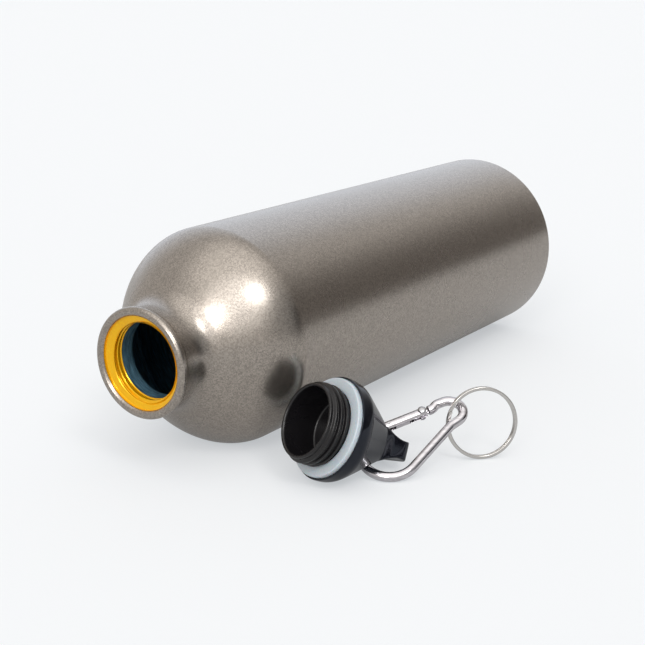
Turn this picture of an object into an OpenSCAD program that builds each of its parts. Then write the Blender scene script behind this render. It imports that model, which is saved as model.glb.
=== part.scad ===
// Aluminium sports bottle on its side, with its screw cap, carabiner and
// split ring lying beside it. Millimetres, +Z up. The origin is the centre of
// the bottle's mouth, in the plane of its lip, and the bottle runs along +X.

/* [Bottle] */
// Radius of the bottle's body
body_radius = 36.5; // [33:0.5:42]
// Length from the mouth to the standing ring of the base
bottle_length = 223; // [160:1:280]
// Distance from the mouth to where the shoulder meets the straight body
shoulder_start = 38; // [36:0.5:44]
// Length of the shoulder's curve, measured as if it ran on to the axis
shoulder_depth = 30; // [27:0.5:31]
// Fullness of the shoulder's curve, 2 is an ellipse and less is more conical
shoulder_power = 1.6; // [1.5:0.05:1.8]
// Thickness of the aluminium wall
wall = 1; // [0.8:0.1:1.3]
// Radius of the outer edge of the base
base_corner = 2.5; // [1.5:0.5:4]
// Depth of the recess under the base
base_recess = 4; // [3:0.5:6]

/* [Neck] */
// Outer radius of the neck below the lip
neck_radius = 16.4; // [16.2:0.1:16.8]
// Outer radius of the rolled lip
lip_radius = 17.8; // [17.6:0.1:18.4]
// Radius of the entry inside the lip
entry_radius = 14.9; // [14.6:0.1:15.2]
// Radius of the neck thread's crests, its smallest bore
thread_bore = 12.4; // [12:0.1:12.6]
// Depth of the thread's grooves
thread_depth = 1; // [0.6:0.1:1.2]
// Distance from one thread ridge to the next
thread_pitch = 2.2; // [1.8:0.1:2.4]

/* [Cap] */
// Radius of the cap's skirt
cap_radius = 16.5; // [16.5:0.5:17.5]
// Height of the cap above its sealing face, loop included
cap_height = 30; // [29:0.5:32]
// Half width of the loop across its two straps
loop_half_width = 7.6; // [7.4:0.1:8]
// Half thickness of the loop at its waist
loop_waist = 3; // [2.6:0.1:3.4]
// Half width of the hole through the loop
hole_half_width = 5.2; // [4.8:0.1:5.4]
// Length of the threaded plug below the sealing face
plug_length = 7.8; // [7:0.1:9]
// Radius of the plug's thread crests
plug_crest = 12.9; // [12.6:0.1:13.1]
// Radius of the plug's hollow
plug_bore = 10.8; // [10.2:0.1:10.9]
// Outer radius of the gasket
gasket_radius = 15.8; // [15.4:0.1:15.9]
// Thickness of the gasket
gasket_thickness = 1.8; // [1.4:0.1:2]

/* [Carabiner] */
// Radius of the carabiner's wire
wire_radius = 1.55; // [1.5:0.05:1.6]
// Radius of the wide bow, along the middle of the wire
bow_radius = 9.3; // [9:0.1:9.6]
// Radius of the small eye, along the middle of the wire
eye_radius = 4.5; // [4.4:0.1:4.8]
// Slope of the straight spine across from the gate
spine_slope = 20; // [18:0.5:22]
// Slope of the gate
gate_slope = -7; // [-8:0.5:-6]
// Distance along the gate's line from the bow to the hinge
hinge_at = 16.1; // [15.8:0.1:16.3]
// Outer radius of the gate
gate_radius = 1.7; // [1.65:0.05:1.8]

/* [Split ring] */
// Outer radius of the split ring
ring_radius = 11.8; // [11.4:0.1:12.4]
// Width of the ring's flat wire, from its inner to its outer side
ring_band = 1.1; // [0.9:0.05:1.3]
// Thickness of one turn of the ring
ring_turn = 0.85; // [0.6:0.05:0.9]

/* [Hidden] */
$fn = 96;
// Joined pieces overlap by this much, so that they make one solid
seam = 0.04;

// Where the loose pieces lie
floor_z = -body_radius;
cap_seat = [29.2, -49, floor_z + 17.5];
cap_dip = 26.7;
cap_heading = -24.9;
cap_roll = -15;
bow_centre = [45.8, -62.4, floor_z + 6.6];
clip_turn = [27.65, -18.43, -30.53];
ring_heading = -46;
ring_lean = 8;
ring_gap = 0.1;
// How far from the middle of the eye the ring's wire passes
ring_shift = [-0.4, -0.8];

// Bottle
shoulder_steps = 28;
dome_inside = wall + 0.4;
lip_roll = (lip_radius - entry_radius) / 2;
neck_fillet = 10;
bead_fillet = 0.7;
neck_inner_end = 10.5;
inner_fillet = 2;
rim_round = 1.2;
thread_start = 3;
thread_turns = 1;
thread_root = thread_bore + thread_depth;
standing_radius = body_radius - base_corner;
recess_radius = standing_radius - 2.5;

// Cap
skirt_bottom = 1.2;
skirt_top = 4;
shoulder_round = 5;
cone_angle = 30.6;
waist_height = 26.5;
crest_flare = 0.4;
loop_corner = 3.5;
// The loop grows thicker below its waist and wider below the straps by these powers
flare_gain = 0.0977;
flare_power = 1.65;
strap_start = 22;
strap_gain = 0.2155;
strap_power = 1.35;
skirt_edge = 0.4;
tip_margin = 1.3;
gasket_gap = 0.15;
plug_roof = 1.2;
hole_top = cap_height - 3.8;
hole_bottom = 12.8;
plug_ridge_height = 0.95;
plug_root = plug_crest - plug_ridge_height;
plug_floor = 4.6;
plug_flange = 14.4;
flange_top = gasket_thickness + 2;
well_radius = plug_bore + 1;

// Carabiner
// The straights are a hair thinner than the bends that they run into
straight_radius = wire_radius - 0.01;
kink_radius = 3;
kink_angle = 14;
eye_lead = 2.9;
top_lead = 1.6;
shoulder_bend = 33;
bend_gap = 0.3;
nose_stub = 2.3;
gate_start = 3;
gate_end = hinge_at + 1.5;
tongue_half = 0.55;
tongue_height = 1.15;
slot_gap = 0.12;
slot_half = tongue_half + slot_gap;
catch_at = 4.4;
catch_rise = 0.1;
pin_radius = 0.5;
catch_radius = pin_radius - 0.12;
pin_gap = 0.06;
spring_bore = 1.12;
chamber_start = 6;
heel_at = hinge_at - tongue_height;
chamber_end = heel_at - 0.5;
spring_wire = 0.17;
spring_radius = 0.85;
spring_coils = 7;
plunger_length = 1.6;
spring_gap = 0.02;

// ---------- Small helpers ----------

// Points on a circle of radius r about c, from angle a to angle b.
function arc(c, r, a, b, n = 12) =
    [for (i = [0:n]) c + r * [cos(a + (b - a) * i / n), sin(a + (b - a) * i / n)]];

// Turns an outline given as [radius, height] into a solid about Z.
module turned(outline) {
    rotate_extrude()
        polygon(outline);
}

// Cylinder along X from x = a to x = b.
module rod_x(radius, a, b) {
    translate([a, 0, 0])
        rotate([0, 90, 0])
            cylinder(h = b - a, r = radius);
}

// Box from low corner to high corner.
module block(low, high) {
    translate(low)
        cube(high - low);
}

module place_cap() {
    translate(cap_seat)
        rotate([0, 90 + cap_dip, cap_heading])
            rotate([0, 0, cap_roll])
                children();
}

module place_clip() {
    translate(bow_centre)
        rotate(clip_turn)
            children();
}

// X runs along the gate from the end of the bow, Y points out of the clip.
module on_gate_line() {
    rotate([0, 0, 90 + gate_slope])
        translate([bow_radius, 0, 0])
            rotate([0, 0, -90])
                children();
}

// ---------- Bottle ----------

// Radius of the shoulder at distance x from the mouth, and the other way round.
function shoulder_r(x) =
    body_radius * pow(1 - pow((shoulder_start - x) / shoulder_depth, shoulder_power), 1 / shoulder_power);
function shoulder_x(r) =
    shoulder_start - shoulder_depth * pow(1 - pow(r / body_radius, shoulder_power), 1 / shoulder_power);

// The fillet leaves the neck and meets the shoulder at this slope.
fillet_turn = 55;
shoulder_neck_x = shoulder_x(neck_radius + neck_fillet * (1 - cos(fillet_turn)));
neck_end = shoulder_neck_x - neck_fillet * sin(fillet_turn);
outer_shoulder = [
    for (i = [0:shoulder_steps])
        let (t = i / shoulder_steps, x = shoulder_neck_x + (shoulder_start - shoulder_neck_x) * (1 - pow(1 - t, 2)))
            [shoulder_r(x), x]
];
inner_shoulder = [
    for (i = [0:shoulder_steps])
        let (p = outer_shoulder[shoulder_steps - i])
            [p[0] - dome_inside, p[1] + dome_inside * (1 - i / shoulder_steps) * 0.2 + 0.9]
];

module bottle_shell() {
    color([0.62, 0.58, 0.53])
        rotate([0, 90, 0])
            difference() {
                shell_body();
                shell_inside();
                for (i = [0:thread_turns])
                    thread_groove(thread_start + thread_pitch * i);
            }
}

module shell_body() {
    turned(concat(
        [[entry_radius - 3.2, lip_roll]],
        [[entry_radius, lip_roll]],
        arc([entry_radius + lip_roll, lip_roll], lip_roll, 180, 360, 24),
        arc([neck_radius + bead_fillet, lip_roll + 1.6], bead_fillet, 0, 90, 4),
        [[neck_radius, lip_roll + 3]],
        arc([neck_radius + neck_fillet, neck_end], neck_fillet, 180, 180 - fillet_turn, 8),
        outer_shoulder,
        arc([body_radius - base_corner, bottle_length - base_corner], base_corner, 0, 90, 8),
        [[recess_radius + rim_round, bottle_length]],
        arc([recess_radius, bottle_length - rim_round], rim_round, 90, 180, 4),
        [[recess_radius - 1.8, bottle_length - base_recess]],
        [[0, bottle_length - base_recess - 1]],
        [[0, lip_roll]]
    ));
}

module shell_inside() {
    turned(concat(
        [[0, -1]],
        [[entry_radius + 1, -1]],
        [[entry_radius + 1, 0]],
        arc([entry_radius + lip_roll, lip_roll], lip_roll, 228, 180, 6),
        [[entry_radius, lip_roll + 0.6]],
        [[thread_bore + 0.6, thread_start - 0.6]],
        [[thread_bore, thread_start]],
        [[thread_bore, neck_inner_end]],
        arc([thread_bore + inner_fillet, neck_inner_end], inner_fillet, 180, 130, 4),
        [for (i = [shoulder_steps:-1:0]) inner_shoulder[i]],
        [[body_radius - wall, bottle_length - base_corner - base_recess - 2]],
        arc([body_radius - wall - 3, bottle_length - base_recess - 4.5], 3, 0, 90, 6),
        [[0, bottle_length - base_recess - 2.4]]
    ));
}

module thread_groove(at) {
    turned([
        [thread_bore - 1, at - 0.8],
        [thread_bore, at - 0.8],
        [thread_root, at - 0.25],
        [thread_root, at + 0.25],
        [thread_bore, at + 0.8],
        [thread_bore - 1, at + 0.8]
    ]);
}

// ---------- Cap, drawn standing on its sealing face with the loop up ----------

// Half thickness of the loop at height z.
function loop_thick(z) =
    loop_waist + (z < waist_height
        ? flare_gain * pow(waist_height - z, flare_power)
        : crest_flare * pow((z - waist_height) / (cap_height - waist_height), 2));

// Half width of the loop at height z.
function loop_wide(z) =
    loop_half_width + (z < strap_start ? strap_gain * pow(strap_start - z, strap_power) : 0);

module cap_cover() {
    color([0.04, 0.04, 0.05])
        place_cap()
            difference() {
                intersection() {
                    cap_round();
                    cap_side_limit();
                    cap_front_limit();
                }
                loop_hole();
                turned([
                    [0, 0], [gasket_radius + gasket_gap, 0], [gasket_radius + gasket_gap, gasket_thickness],
                    [plug_flange, gasket_thickness], [plug_flange, flange_top],
                    [well_radius, flange_top], [well_radius, plug_floor + plug_roof], [0, plug_floor + plug_roof]
                ]);
            }
}

// The skirt and the cone that rises from it.
module cap_round() {
    cone_r = cap_radius - shoulder_round + shoulder_round * cos(cone_angle);
    cone_z = skirt_top + shoulder_round * sin(cone_angle);
    tip_r = loop_half_width + tip_margin;
    turned(concat(
        [[0, skirt_bottom]],
        arc([cap_radius - skirt_edge, skirt_bottom + skirt_edge], skirt_edge, 270, 360, 4),
        arc([cap_radius - shoulder_round, skirt_top], shoulder_round, 0, cone_angle, 8),
        [[tip_r, cone_z + (cone_r - tip_r) / tan(cone_angle)]],
        [[tip_r, cap_height]],
        [[0, cap_height]]
    ));
}

// Limits the loop's thickness, seen along Y.
module cap_side_limit() {
    steps = 24;
    side = [for (i = [0:steps]) let (z = cap_height * i / steps) [loop_thick(z), z]];
    rotate([90, 0, 0])
        linear_extrude(height = 4 * cap_radius, center = true)
            polygon(concat(side, [for (i = [steps:-1:0]) [-side[i][0], side[i][1]]]));
}

// Limits the loop's width, seen along X.
module cap_front_limit() {
    steps = 16;
    rise = cap_height - loop_corner;
    side = concat(
        [for (i = [0:steps]) let (z = rise * i / steps) [loop_wide(z), z]],
        arc([loop_half_width - loop_corner, rise], loop_corner, 0, 90, 8)
    );
    last = len(side) - 1;
    rotate([90, 0, 90])
        linear_extrude(height = 4 * cap_radius, center = true)
            polygon(concat(side, [for (i = [last:-1:0]) [-side[i][0], side[i][1]]]));
}

// The hole that the carabiner passes through, with rounded ends.
module loop_hole() {
    rotate([90, 0, 90])
        linear_extrude(height = 4 * cap_radius, center = true)
            union() {
                translate([0, hole_bottom + hole_half_width])
                    circle(r = hole_half_width);
                translate([0, hole_top - hole_half_width])
                    circle(r = hole_half_width);
                translate([-hole_half_width, hole_bottom + hole_half_width])
                    square([2 * hole_half_width, hole_top - hole_bottom - 2 * hole_half_width]);
            }
}

module cap_plug() {
    ridges = 3;
    color([0.09, 0.09, 0.1])
        place_cap()
            difference() {
                union() {
                    turned(concat(
                        [[0, -plug_length]],
                        arc([plug_root - 0.5, -plug_length + 0.5], 0.5, 270, 360, 4),
                        [[plug_root, gasket_thickness], [plug_flange, gasket_thickness]],
                        [[plug_flange, flange_top], [well_radius, flange_top]],
                        [[well_radius, plug_floor + plug_roof], [0, plug_floor + plug_roof]]
                    ));
                    for (i = [0:ridges - 1])
                        plug_ridge(-1.5 - thread_pitch * i);
                }
                turned([
                    [0, -plug_length - 1], [plug_bore + 0.3, -plug_length - 1],
                    [plug_bore + 0.3, -plug_length], [plug_bore, -plug_length + 0.5],
                    [plug_bore - 0.3, plug_floor], [0, plug_floor]
                ]);
            }
}

module plug_ridge(at) {
    turned([
        [plug_root - 0.2, at - 0.75],
        [plug_root, at - 0.75],
        [plug_crest, at - 0.2],
        [plug_crest, at + 0.2],
        [plug_root, at + 0.75],
        [plug_root - 0.2, at + 0.75]
    ]);
}

module cap_gasket() {
    soft = 0.3;
    color([0.85, 0.88, 0.92])
        place_cap()
            turned(concat(
                [[plug_root, gasket_thickness], [plug_root, soft]],
                [[plug_root + soft, 0]],
                arc([gasket_radius - soft, soft], soft, 270, 360, 4),
                [[gasket_radius, gasket_thickness]]
            ));
}

// ---------- Carabiner, drawn flat about the centre of its bow ----------

// The wire's path: each piece is [length] for a straight or [radius, angle]
// for a bend, and a positive angle turns left.
function wire_path(spine) = [
    [bow_radius, 180 + spine_slope - gate_slope],
    [spine],
    [kink_radius, -kink_angle],
    [eye_lead],
    [eye_radius, 180 + gate_slope - 1 - spine_slope + kink_angle],
    [top_lead],
    [kink_radius, shoulder_bend],
    [bend_gap],
    [kink_radius, -shoulder_bend + 1]
];

// Pose [x, y, heading] after piece i of a path.
function step_on(p, piece) =
    len(piece) == 1
        ? [p[0] + piece[0] * cos(p[2]), p[1] + piece[0] * sin(p[2]), p[2]]
        : let (s = sign(piece[1]), h = p[2] + piece[1], r = piece[0] * s)
            [p[0] + r * (sin(h) - sin(p[2])), p[1] - r * (cos(h) - cos(p[2])), h];

wire_start = [bow_radius * sin(-gate_slope), bow_radius * cos(gate_slope), 180 + gate_slope];

// How far a point lies outside the gate's line.
function off_line(p) = (p[0] - wire_start[0]) * sin(-gate_slope) + (p[1] - wire_start[1]) * cos(gate_slope);
open_end = walk_end(wire_path(0));
function walk_end(path) = walk(path, wire_start, 0);
function walk(path, p, i) = i == len(path) ? p : walk(path, step_on(p, path[i]), i + 1);
// The spine is as long as it takes for the wire to come back to the gate's line.
spine_length = -off_line(open_end) / sin(spine_slope - gate_slope);
clip_path = wire_path(spine_length);
clip_end = walk_end(clip_path);
hinge_side = (clip_end[0] - wire_start[0]) * cos(gate_slope) + (clip_end[1] - wire_start[1]) * sin(gate_slope);

module wire_piece(p, piece) {
    translate([p[0], p[1], 0])
        rotate([0, 0, p[2]])
            if (len(piece) == 1) {
                rod_x(straight_radius, -seam, piece[0] + seam);
            } else {
                side = sign(piece[1]);
                translate([0, side * piece[0], 0])
                    rotate([0, 0, side > 0 ? -90 : 90 + piece[1]])
                        rotate_extrude(angle = abs(piece[1]))
                            translate([piece[0], 0])
                                circle(r = wire_radius);
            }
}

module wire_run(path, p, i = 0) {
    if (i < len(path)) {
        wire_piece(p, path[i]);
        wire_run(path, step_on(p, path[i]), i + 1);
    }
}

module carabiner_frame() {
    color([0.82, 0.82, 0.84])
        place_clip()
            union() {
                wire_run(clip_path, wire_start);
                on_gate_line() {
                    nose();
                    heel();
                }
            }
}

// The nose's tongue, notched from inside the clip for the catch pin.
module nose() {
    notch = 0.5;
    rod_x(straight_radius, -seam, nose_stub);
    difference() {
        block([nose_stub - seam, -tongue_height, -tongue_half], [catch_at + 1.1, tongue_height, tongue_half]);
        block([catch_at - notch, -2, -1], [catch_at + notch, catch_rise, 1]);
        translate([catch_at, catch_rise, 0])
            cylinder(h = 2, r = notch, center = true);
    }
}

// The heel's tongue, bored for the rivet.
module heel() {
    rod_x(straight_radius, hinge_at + 1.95, hinge_side + seam);
    difference() {
        union() {
            block([hinge_at, -tongue_height, -tongue_half], [hinge_at + 2, tongue_height, tongue_half]);
            translate([hinge_at, 0, 0])
                cylinder(h = 2 * tongue_half, r = tongue_height, center = true);
        }
        translate([hinge_at, 0, 0])
            cylinder(h = 4, r = pin_radius + pin_gap, center = true);
    }
}

module carabiner_gate() {
    color([0.78, 0.78, 0.8])
        place_clip()
            on_gate_line()
                difference() {
                    rod_x(gate_radius, gate_start, gate_end);
                    rod_x(spring_bore, chamber_start, chamber_end + 1);
                    block([gate_start - 1, -2, -slot_half], [catch_at + 1.5, 2, slot_half]);
                    block([chamber_end, -2, -slot_half], [gate_end + 1, 2, slot_half]);
                    // Opening on the inner side, beside the spring and its plunger
                    block([chamber_end - 3.4, -2, -slot_half], [chamber_end + 1, 0, slot_half]);
                    translate([hinge_at, 0, 0])
                        cylinder(h = 5, r = pin_radius, center = true);
                    translate([catch_at, catch_rise, 0])
                        cylinder(h = 5, r = catch_radius, center = true);
                }
}

// Headed pin through the gate's cheeks and the heel.
module gate_rivet() {
    head = 1.15;
    head_rise = 0.6;
    color([0.85, 0.85, 0.87])
        place_clip()
            on_gate_line()
                translate([hinge_at, 0, 0])
                    turned([
                        [0, -gate_radius - head_rise],
                        [head * 0.6, -gate_radius - head_rise * 0.85],
                        [head * 0.9, -gate_radius - head_rise * 0.4],
                        [head, -gate_radius],
                        [pin_radius, -gate_radius],
                        [pin_radius, gate_radius],
                        [head, gate_radius],
                        [head * 0.9, gate_radius + head_rise * 0.4],
                        [head * 0.6, gate_radius + head_rise * 0.85],
                        [0, gate_radius + head_rise]
                    ]);
}

module gate_catch_pin() {
    color([0.8, 0.8, 0.82])
        place_clip()
            on_gate_line()
                translate([catch_at, catch_rise, 0])
                    cylinder(h = 2 * gate_radius - 0.1, r = catch_radius, center = true);
}

module gate_plunger() {
    nib = 0.35;
    color([0.6, 0.6, 0.62])
        place_clip()
            on_gate_line() {
                rod_x(spring_bore - 0.1, chamber_end - plunger_length, chamber_end);
                rod_x(slot_half - 0.12, chamber_end - seam, chamber_end + nib);
            }
}

// Coil spring between the closed end of the gate's bore and the plunger.
module gate_spring() {
    sides = 8;
    per_turn = 14;
    steps = spring_coils * per_turn;
    low = chamber_start + spring_wire + spring_gap;
    span = chamber_end - plunger_length - spring_wire - spring_gap - low;
    points = [
        for (i = [0:steps], k = [0:sides - 1])
            let (turn = 360 * i / per_turn, a = 360 * k / sides, r = spring_radius + spring_wire * cos(a))
                [low + span * i / steps + spring_wire * sin(a), r * cos(turn), r * sin(turn)]
    ];
    walls = [
        for (i = [0:steps - 1], k = [0:sides - 1])
            let (a = i * sides + k, b = i * sides + (k + 1) % sides)
                [a, b, b + sides, a + sides]
    ];
    ends = [
        [for (k = [sides - 1:-1:0]) k],
        [for (k = [0:sides - 1]) steps * sides + k]
    ];
    color([0.5, 0.5, 0.52])
        place_clip()
            on_gate_line()
                polyhedron(points = points, faces = concat(walls, ends));
}

// ---------- Split ring ----------

// A point of the flat carabiner, where the placed carabiner has it.
function clip_point(p) =
    let (
        a = clip_turn[0], b = clip_turn[1], c = clip_turn[2],
        q = [p[0] * cos(b) + p[1] * sin(a) * sin(b), p[1] * cos(a), -p[0] * sin(b) + p[1] * sin(a) * cos(b)]
    )
        bow_centre + [q[0] * cos(c) - q[1] * sin(c), q[0] * sin(c) + q[1] * cos(c), q[2]];

// The ring leans back from the floor, and its wire passes through the carabiner's eye.
eye_start = walk([for (i = [0:3]) clip_path[i]], wire_start, 0);
eye_centre = clip_point([
    eye_start[0] - eye_radius * sin(eye_start[2]) + ring_shift[0],
    eye_start[1] + eye_radius * cos(eye_start[2]) + ring_shift[1]
]);
ring_middle = ring_radius - ring_band / 2;
ring_half = ring_turn + ring_gap / 2;
ring_across = [cos(ring_heading), sin(ring_heading), 0];
ring_up = [-sin(ring_lean) * sin(ring_heading), sin(ring_lean) * cos(ring_heading), cos(ring_lean)];
ring_height = floor_z + ring_radius * cos(ring_lean) + ring_half * sin(ring_lean);
eye_up = (eye_centre[2] - ring_height) / cos(ring_lean);
eye_across = sqrt(pow(ring_middle, 2) - pow(eye_up, 2));
ring_centre = eye_centre + eye_across * ring_across - eye_up * ring_up;

// Two flat turns, joined where the wire steps from one to the other.
module split_ring() {
    step_angle = 14;
    ring_inset = 0.1;
    color([0.75, 0.75, 0.77])
        translate(ring_centre)
            rotate([90 - ring_lean, 0, ring_heading])
                union() {
                    for (side = [-1, 1])
                        rotate([0, 0, side > 0 ? 0 : 5])
                            rotate_extrude(angle = 355)
                                ring_section(side * (ring_gap + ring_turn) / 2, ring_turn);
                    rotate([0, 0, 180])
                        rotate_extrude(angle = step_angle)
                            ring_section(0, ring_gap + ring_turn, ring_inset);
                }
}

// Section of the ring's flat wire, drawn in by inset on its inner and outer side.
module ring_section(at, thick, inset = 0) {
    translate([ring_radius - ring_band + inset, at - thick / 2])
        square([ring_band - 2 * inset, thick]);
}

bottle_shell();
cap_cover();
cap_plug();
cap_gasket();
carabiner_frame();
carabiner_gate();
gate_rivet();
gate_catch_pin();
gate_spring();
gate_plunger();
split_ring();
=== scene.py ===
"""Finished surfaces, floor, lights and camera for a lying aluminium bottle, its cap, carabiner and ring.

Sizes are in millimetres until a piece is placed, and every placed piece is in metres. The origin is the
centre of the bottle's mouth, +X runs to the base and +Z is up.
"""
import math

import bmesh
import bpy
from mathutils import Matrix, Vector


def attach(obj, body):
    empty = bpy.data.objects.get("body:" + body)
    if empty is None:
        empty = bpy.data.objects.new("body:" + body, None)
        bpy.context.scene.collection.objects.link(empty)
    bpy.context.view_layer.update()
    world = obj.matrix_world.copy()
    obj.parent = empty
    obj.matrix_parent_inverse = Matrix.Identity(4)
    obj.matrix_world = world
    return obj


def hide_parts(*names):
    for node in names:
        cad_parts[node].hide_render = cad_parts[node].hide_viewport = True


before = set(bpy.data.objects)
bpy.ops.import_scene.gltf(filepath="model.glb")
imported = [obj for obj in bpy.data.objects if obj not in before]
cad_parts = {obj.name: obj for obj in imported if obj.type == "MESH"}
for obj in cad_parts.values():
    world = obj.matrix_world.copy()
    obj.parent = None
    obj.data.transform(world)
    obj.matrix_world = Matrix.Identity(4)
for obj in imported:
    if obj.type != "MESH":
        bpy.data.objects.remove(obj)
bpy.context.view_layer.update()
MM = 0.001

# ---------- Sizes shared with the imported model, in millimetres ----------

BODY_RADIUS = 36.5
BOTTLE_LENGTH = 223
SHOULDER_START = 38
SHOULDER_DEPTH = 30
SHOULDER_POWER = 1.6
WALL = 1
BASE_CORNER = 2.5
BASE_RECESS = 4
NECK_RADIUS = 16.4
LIP_RADIUS = 17.8
ENTRY_RADIUS = 14.9
THREAD_BORE = 12.4
THREAD_DEPTH = 1
THREAD_PITCH = 2.2
NECK_INNER_END = 10.5
LACQUER_END = 6.3
NECK_FILLET = 10
FILLET_TURN = 55
# Angle round the lip where the paint gives way to the lacquer
PAINT_END = 200
# Distance between the rings of the straight wall
WALL_STEP = 12

CAP_SEAT = (29.2, -49, -19)
CAP_DIP = 26.7
CAP_HEADING = -24.9
CAP_ROLL = -15
CAP_RADIUS = 16.5
CAP_HEIGHT = 30
SKIRT_BOTTOM = 1.2
SKIRT_TOP = 4
CAP_SHOULDER = 5
CONE_ANGLE = 30.6
LOOP_HALF_WIDTH = 7.6
LOOP_WAIST = 3
WAIST_HEIGHT = 26.5
LOOP_CORNER = 3.5
THICKNESS_GROWTH = 0.0977
THICKNESS_POWER = 1.65
TIP_FLARE = 0.4
FLARE_TOP = 22
BREADTH_GROWTH = 0.2155
BREADTH_POWER = 1.35
CAP_EDGE = 0.5
HOLE_HALF_WIDTH = 5.2
HOLE_BOTTOM = 12.8
HOLE_TOP = 26.2
PLUG_LENGTH = 7.8
PLUG_ROOT = 11.95
PLUG_CREST = 12.9
PLUG_BORE = 10.8
PLUG_FLOOR = 4.6
PLUG_FLANGE = 14.4
WELL_RADIUS = 11.8
GASKET_RADIUS = 15.8
GASKET_THICKNESS = 1.8
GASKET_GAP = 0.15
FLANGE_DEPTH = 2
ROOF_THICKNESS = 1.2

BOW_CENTRE = (45.8, -62.4, -29.9)
CLIP_TURN = (27.65, -18.43, -30.53)
WIRE_RADIUS = 1.55
BOW_RADIUS = 9.3
SPINE_SLOPE = 20
GATE_SLOPE = -7
KINK_RADIUS = 3
KINK_ANGLE = 14
EYE_LEAD = 2.9
EYE_RADIUS = 4.5
TOP_LEAD = 1.6
SHOULDER_BEND = 33
BEND_GAP = 0.3
END_TILT = 1
HINGE_AT = 16.1
CATCH_AT = 4.4
GATE_RADIUS = 1.7
TONGUE_HALF = 0.55
TONGUE_HEIGHT = 1.15
TIP_ROUNDING = 0.9
TONGUE_BLEND = 0.4
NOSE_STUB = 2.3
NOSE_PAST_CATCH = 1.1
HEEL_FLAT = 3.1
CATCH_RISE = 0.1
CATCH_NOTCH = 0.5
PIN_RADIUS = 0.5
RIVET_HEAD = 1.4
RIVET_RISE = 0.7
SPRING_START = 6.19
SPRING_END = 12.66
SPRING_RADIUS = 0.85
SPRING_WIRE = 0.17
SPRING_COILS = 7

RING_CENTRE = (73.365, -80.382, -24.690)
RING_HEADING = -46
RING_LEAN = 8
RING_RADIUS = 11.8
RING_BAND = 1.1
RING_TURN = 0.85
RING_GAP = 0.1
RING_TURNS = 1.98
RING_CORNER = 0.22
RING_START = 150


def cosd(angle):
    return math.cos(math.radians(angle))


def sind(angle):
    return math.sin(math.radians(angle))


def turn(axis, angle):
    return Matrix.Rotation(math.radians(angle), 4, axis)


BOTTLE_PLACE = turn("Y", 90)
CAP_PLACE = (
    Matrix.Translation(CAP_SEAT) @ turn("Z", CAP_HEADING) @ turn("Y", 90 + CAP_DIP) @ turn("Z", CAP_ROLL)
)
CLIP_PLACE = (
    Matrix.Translation(BOW_CENTRE)
    @ turn("Z", CLIP_TURN[2])
    @ turn("Y", CLIP_TURN[1])
    @ turn("X", CLIP_TURN[0])
)
GATE_IN_CLIP = turn("Z", 90 + GATE_SLOPE) @ Matrix.Translation((BOW_RADIUS, 0, 0)) @ turn("Z", -90)
GATE_PLACE = CLIP_PLACE @ GATE_IN_CLIP
# Turns a shape drawn as (y, z) about its own Z so that it runs along X.
ALONG_X = Matrix(((0, 0, 1, 0), (1, 0, 0, 0), (0, 1, 0, 0), (0, 0, 0, 1)))
RING_PLACE = Matrix.Translation(RING_CENTRE) @ turn("Z", RING_HEADING) @ turn("X", 90 - RING_LEAN)


# ---------- Shader node groups used by more than one finish ----------


def group_socket(group, name, direction, kind, value=None):
    """Adds a socket to a shader or geometry group."""
    socket = group.interface.new_socket(name=name, in_out=direction, socket_type=kind)
    if value is not None:
        socket.default_value = value


def fine_grain_group():
    """Small irregular grain: a height for bump and a factor that runs from 0 to 1."""
    group = bpy.data.node_groups.new("fine_grain", "ShaderNodeTree")
    group_socket(group, "Grain Size", "INPUT", "NodeSocketFloat", 0.0005)
    group_socket(group, "Stretch", "INPUT", "NodeSocketVector", (1, 1, 1))
    group_socket(group, "Factor", "OUTPUT", "NodeSocketFloat")
    group_socket(group, "Height", "OUTPUT", "NodeSocketFloat")
    nodes, links = group.nodes, group.links
    given = nodes.new("NodeGroupInput")
    result = nodes.new("NodeGroupOutput")
    place = nodes.new("ShaderNodeTexCoord")
    stretched = nodes.new("ShaderNodeVectorMath")
    stretched.operation = "DIVIDE"
    links.new(place.outputs["Object"], stretched.inputs[0])
    links.new(given.outputs["Stretch"], stretched.inputs[1])
    per_metre = nodes.new("ShaderNodeMath")
    per_metre.operation = "DIVIDE"
    per_metre.inputs[0].default_value = 1
    links.new(given.outputs["Grain Size"], per_metre.inputs[1])
    noise = nodes.new("ShaderNodeTexNoise")
    noise.inputs["Detail"].default_value = 3
    noise.inputs["Roughness"].default_value = 0.6
    links.new(stretched.outputs[0], noise.inputs["Vector"])
    links.new(per_metre.outputs[0], noise.inputs["Scale"])
    spread = nodes.new("ShaderNodeMapRange")
    spread.inputs["From Min"].default_value = 0.3
    spread.inputs["From Max"].default_value = 0.7
    links.new(noise.outputs["Fac"], spread.inputs["Value"])
    links.new(spread.outputs["Result"], result.inputs["Factor"])
    links.new(noise.outputs["Fac"], result.inputs["Height"])
    return group


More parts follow.
